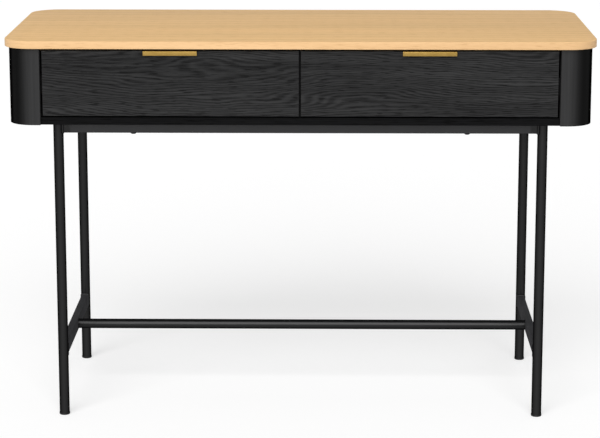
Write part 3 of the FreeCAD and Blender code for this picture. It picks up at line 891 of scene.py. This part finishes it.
beads = add(weld_tree, "GeometryNodeInstanceOnPoints", {
    "Points": weld_in["Geometry"], "Instance": upright.outputs["Geometry"],
    "Rotation": spin.outputs["Vector"],
})
finish_tree(weld_tree, weld_out, beads.outputs["Instances"], weld_in["Finish"])

WELD_SINK = 0.8 * MM
QUARTER = math.pi / 2


def weld_places(height, cross):
    """Points and turns for the beads at one height. cross adds those of the long bars."""
    spots = []
    turns = []
    reach = TUBE_RADIUS - WELD_SINK
    for x, y in corners:
        spots.append((x, y - math.copysign(reach, y), height))
        turns.append(QUARTER)
        if cross:
            spots.append((x - math.copysign(reach, x), y, height))
            turns.append(0.0)
    return spots, turns


cross_low, cross_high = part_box("front_top_bar")
brace_low, brace_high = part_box("left_brace")
spots, turns = weld_places((cross_low.z + cross_high.z) / 2, True)
welds = grown("bar_welds", weld_tree, spots, [], {"Finish": steel_black}, {"turn": turns})
settle(soften(welds, 60), "desk", "black_steel")
spots, turns = weld_places((brace_low.z + brace_high.z) / 2, False)
brace_height = brace_high.z - brace_low.z
welds = grown("brace_welds", weld_tree, spots, [],
              {"Finish": steel_black, "Bar Height": brace_height}, {"turn": turns})
settle(soften(welds, 60), "desk", "black_steel")

# %% [markdown]
# ## Bolts with hexagon sockets
# The frame is bolted up into the case and the stretcher is bolted through the braces.
# A bolt head is a low cylinder with a six-sided recess. The head is made once, as
# rings of points that change from a circle to a hexagon, and the tree sets it at each
# bolt.

# %% Drive heads as rings
HEAD_POINTS = 36


def polar_ring(radius_at, height):
    """A level ring of points whose radius depends on the angle."""
    angles = [math.tau * i / HEAD_POINTS for i in range(HEAD_POINTS)]
    return [
        (radius_at(angle) * math.cos(angle), radius_at(angle) * math.sin(angle), height)
        for angle in angles
    ]


def circle_ring(radius, height):
    return polar_ring(lambda angle: radius, height)


def hexagon_ring(flat, height):
    return polar_ring(lambda angle: flat / math.cos(angle % (math.pi / 3) - math.pi / 6), height)


def cross_ring(arm, waist, height):
    """A four-armed recess: far out along the arms, near the middle between them."""
    return polar_ring(lambda angle: waist + (arm - waist) * math.cos(2 * angle) ** 8, height)


def head_model(name, rings, finish):
    head = soften(loft(name, rings, [finish]), 35)
    head.hide_render = True
    return head


# %% [markdown]
# The head model points up, with its seat at zero. The tree puts one at each point and
# turns them all the same way, which is enough because the bolts of one group share a
# direction.

# %% Bolts
head_tree, head_in, head_out = new_tree("drive_heads", [
    ("Head", "NodeSocketObject", None),
    ("Turn", "NodeSocketVector", None),
    ("Finish", "NodeSocketMaterial", None),
])
model = add(head_tree, "GeometryNodeObjectInfo", {"Object": head_in["Head"]})
heads = add(head_tree, "GeometryNodeInstanceOnPoints", {
    "Points": head_in["Geometry"], "Instance": model.outputs["Geometry"], "Rotation": head_in["Turn"],
})
finish_tree(head_tree, head_out, heads.outputs["Instances"], head_in["Finish"])

BOLT_HEAD = 5 * MM
BOLT_TALL = 2.5 * MM
BOLT_SHANK = 3 * MM
BOLT_LONG = 20 * MM
BOLT_CHAMFER = 0.8 * MM
SOCKET_FLAT = 2 * MM
bolt_head = head_model("bolt_head_model", [
    circle_ring(BOLT_SHANK, -BOLT_LONG),
    circle_ring(BOLT_SHANK, 0),
    circle_ring(BOLT_HEAD, 0),
    circle_ring(BOLT_HEAD, BOLT_TALL - BOLT_CHAMFER),
    circle_ring(BOLT_HEAD - BOLT_CHAMFER, BOLT_TALL),
    hexagon_ring(SOCKET_FLAT, BOLT_TALL),
    hexagon_ring(SOCKET_FLAT, 0.7 * MM),
    circle_ring(0.4 * MM, 0.3 * MM),
], steel_black)


def put_heads(name, places, turn, head, finish, body, slot, *nodes):
    item = grown(name, head_tree, places, [], {"Head": head, "Turn": turn, "Finish": finish})
    settle(soften(item, 35), body, slot, *nodes)


bolts_low, bolts_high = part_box("frame_bolts")
bolt_x = bolts_high.x - BOLT_HEAD
seat = bolts_low.z + BOLT_TALL
bolt_places = [(x * bolt_x, y * LEG_Y, seat) for x in (-1, 1) for y in (-1, 1)]
put_heads("frame_bolt_heads", bolt_places, (math.pi, 0, 0), bolt_head, steel_black,
          "desk", "black_steel", "frame_bolts")
rod_low, rod_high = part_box("stretcher_bolts")
for side, sign in SIDES.items():
    place = (sign * (rod_high.x - BOLT_TALL), 0, rod_z)
    nodes = ["stretcher_bolts"] if side == "left" else []
    put_heads(f"{side}_stretcher_bolt_head", [place], (0, sign * QUARTER, 0),
              bolt_head, steel_black, "desk", "black_steel", *nodes)

# %% [markdown]
# ## Screws
# The screws under the case and in the drawers have a cross recess. The same tree sets
# them, with a countersunk head whose face is level with the board.

# %% Screws
SCREW_HEAD = 4 * MM
SCREW_FACE = 0.05 * MM
PULL_SCREW_SUNK = 0.6 * MM
screw_head = head_model("screw_head_model", [
    circle_ring(1.2 * MM, -2.4 * MM),
    circle_ring(2 * MM, -2 * MM),
    circle_ring(SCREW_HEAD - 0.1 * MM, -0.1 * MM),
    circle_ring(SCREW_HEAD - 0.25 * MM, SCREW_FACE),
    cross_ring(2.3 * MM, 0.8 * MM, SCREW_FACE),
    cross_ring(1.6 * MM, 0.6 * MM, -1.2 * MM),
    circle_ring(0.2 * MM, -1.5 * MM),
], zinc)

case_screw_low, case_screw_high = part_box("case_screws")
screw_x = case_screw_high.x - SCREW_HEAD
screw_y = case_screw_high.y - SCREW_HEAD
places = [(x * screw_x, y * screw_y, case_screw_low.z) for x in (-1, 0, 1) for y in (-1, 1)]
put_heads("case_screw_heads", places, (math.pi, 0, 0), screw_head, zinc,
          "desk", "zinc_steel", "case_screws")

for side in SIDES:
    low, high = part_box(f"{side}_back_screws")
    y = (low.y + high.y) / 2
    levels = (low.z + SCREW_HEAD, high.z - SCREW_HEAD)
    for end, x, angle in (("outer", low.x, -QUARTER), ("inner", high.x, QUARTER)):
        places = [(x, y, z) for z in levels]
        nodes = [f"{side}_back_screws"] if end == "outer" else []
        put_heads(f"{side}_{end}_back_screw_heads", places, (0, angle, 0),
                  screw_head, zinc, f"{side}_drawer", "zinc_steel", *nodes)
    low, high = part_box(f"{side}_pull_screws")
    z = (low.z + high.z) / 2
    face = high.y - PULL_SCREW_SUNK
    places = [(x, face, z) for x in (low.x + SCREW_HEAD, high.x - SCREW_HEAD)]
    put_heads(f"{side}_pull_screw_heads", places, (-QUARTER, 0, 0), screw_head, zinc,
              f"{side}_drawer", "zinc_steel", f"{side}_pull_screws")

# %% [markdown]
# Each drawer rail is screwed to the side of its box. These screws sink into the rail,
# because the middle rail passes them with half a millimetre to spare.

# %% Slide screws
RAIL_GAUGE = 1.2 * MM
SCREW_FROM_END = 22 * MM
for side in SIDES:
    low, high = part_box(f"{side}_drawer_rails")
    z = (low.z + high.z) / 2
    along = (low.y + SCREW_FROM_END, (low.y + high.y) / 2, high.y - SCREW_FROM_END)
    left_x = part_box(f"{side}_drawer_left_side")[0].x - RAIL_GAUGE
    right_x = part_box(f"{side}_drawer_right_side")[1].x + RAIL_GAUGE
    for end, x, angle in (("left", left_x, -QUARTER), ("right", right_x, QUARTER)):
        places = [(x, y, z) for y in along]
        put_heads(f"{side}_{end}_slide_screws", places, (0, angle, 0), screw_head, zinc,
                  f"{side}_drawer", "zinc_steel")

# %% [markdown]
# ## Ball bearings in the slides
# A drawer slide has three nested rails with rows of balls between them. The rails
# come from the design model. The tree fills each race with a row of balls along a
# line, at a set spacing.

# %% Balls
ball_tree, ball_in, ball_out = new_tree("ball_rows", [
    ("Ball", "NodeSocketFloat", 0.0011),
    ("Pitch", "NodeSocketFloat", 0.008),
    ("Finish", "NodeSocketMaterial", None),
])
rows = add(ball_tree, "GeometryNodeMeshToCurve", {"Mesh": ball_in["Geometry"]})
row_points = add(ball_tree, "GeometryNodeCurveToPoints", {
    "Curve": rows.outputs["Curve"], "Length": ball_in["Pitch"],
}, mode="LENGTH")
ball = add(ball_tree, "GeometryNodeMeshIcoSphere", {"Radius": ball_in["Ball"], "Subdivisions": 2})
balls = add(ball_tree, "GeometryNodeInstanceOnPoints", {
    "Points": row_points.outputs["Points"], "Instance": ball.outputs["Mesh"],
})
finish_tree(ball_tree, ball_out, balls.outputs["Instances"], ball_in["Finish"])

RACE = 2.3 * MM
OUTER_RACE_IN = 6 * MM
INNER_RACE_IN = 8.5 * MM
ROW_MARGIN = 10 * MM
OUTER_ROW_FRONT = -20 * MM
INNER_ROW_BACK = -30 * MM


def ball_rows(side):
    """Back rows run between cabinet and middle rails, front rows inside the middle rails."""
    cabinet_low, cabinet_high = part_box(f"{side}_cabinet_rails")
    middle_low, middle_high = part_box(f"{side}_middle_rails")
    mid = (middle_low.z + middle_high.z) / 2
    outer = (middle_high.z - middle_low.z) / 2 + RACE / 2
    inner = (middle_high.z - middle_low.z) / 2 - RAIL_GAUGE - RACE / 2
    pairs = []
    for x, way in ((cabinet_low.x, 1), (cabinet_high.x, -1)):
        for level in (-1, 1):
            near = x + way * OUTER_RACE_IN
            far = x + way * INNER_RACE_IN
            outer_z = mid + level * outer
            inner_z = mid + level * inner
            pairs += [
                [(near, OUTER_ROW_FRONT, outer_z), (near, middle_high.y - ROW_MARGIN, outer_z)],
                [(far, middle_low.y + ROW_MARGIN, inner_z), (far, INNER_ROW_BACK, inner_z)],
            ]
    points, edges = lines_mesh(pairs)
    item = grown(f"{side}_slide_balls", ball_tree, points, edges, {"Finish": zinc})
    settle(soften(item, 80), f"{side}_slide_middle", "zinc_steel")


for side in SIDES:
    ball_rows(side)

# %% [markdown]
# ## Everything else keeps its shape
# The parts that are left, such as feet, rails and fittings, are right as they are and
# need only a finish. Round ones get a merged, smooth copy, because a design mesh is
# made of loose flat triangles.

# %% Finishes for the remaining nodes
NODE_FINISH = {
    "black_board": case_black,
    "drawer_board": box_black,
    "zinc_steel": zinc,
    "slide_steel": slide_black,
    "black_plastic": plastic_black,
    "black_steel": steel_black,
}


def smooth_copy(node, body, slot):
    copy = add_object(f"{node}_smooth", frame["nodes"][node].data.copy())
    copy.data.materials.clear()
    copy.data.materials.append(NODE_FINISH[slot])
    face_outwards(copy)
    settle(soften(copy, 35), body, slot, node)


ROUND = ("foot", "cam_discs", "cam_bolts", "insert_nuts", "stretcher_plugs", "top_screws")
bodies = frame["record"]["behaviour"]["bodies"]
body_of = {node: body for body, nodes in bodies.items() for node in nodes}
slot_of = {part["node"]: part["material_slot"] for part in frame["record"]["subparts"]}
shown = sorted(piece.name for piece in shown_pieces() if piece.name in slot_of)
for node in shown:
    if node.endswith(ROUND):
        smooth_copy(node, body_of[node], slot_of[node])
    else:
        materials = frame["nodes"][node].data.materials
        materials.clear()
        materials.append(NODE_FINISH[slot_of[node]])
print("nodes that keep their own mesh:", len(shown))

# %% [markdown]
# ## Finish
# The head models were only patterns for the trees, so they go.

# %% Clean up and finish
for pattern in (bolt_head, screw_head):
    bpy.data.objects.remove(pattern)
